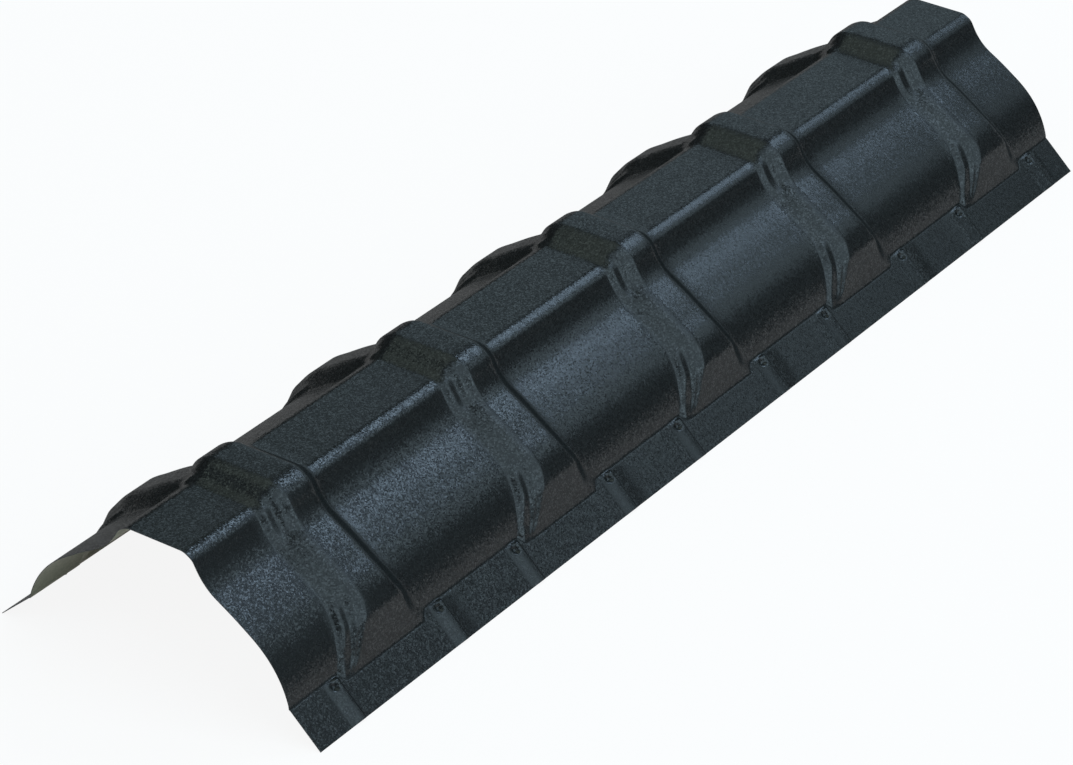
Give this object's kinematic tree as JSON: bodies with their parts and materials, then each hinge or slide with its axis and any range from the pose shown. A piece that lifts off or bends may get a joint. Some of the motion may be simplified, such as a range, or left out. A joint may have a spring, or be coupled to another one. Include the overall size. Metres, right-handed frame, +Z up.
{
  "type": "roof ridge cap",
  "caption": "Pressed steel roof ridge cap with a flat ridge, curved sides crossed by raised bands, and sloping flanges that lap onto the roof on both sides.",
  "frame": {"origin": "bottom centre, level with the lower edges of the two flanges, midway along the cap", "axes": "+Y along the ridge, +Z up, +X across towards one eave"},
  "size_m": [0.2634, 0.99, 0.117],
  "materials": {
    "coated_steel": "matte grained polyester coat, anthracite, with a beige-grey backing coat underneath"
  },
  "bodies": {
    "root": {"ridge_cap": "coated_steel"}
  },
  "joints": []
}
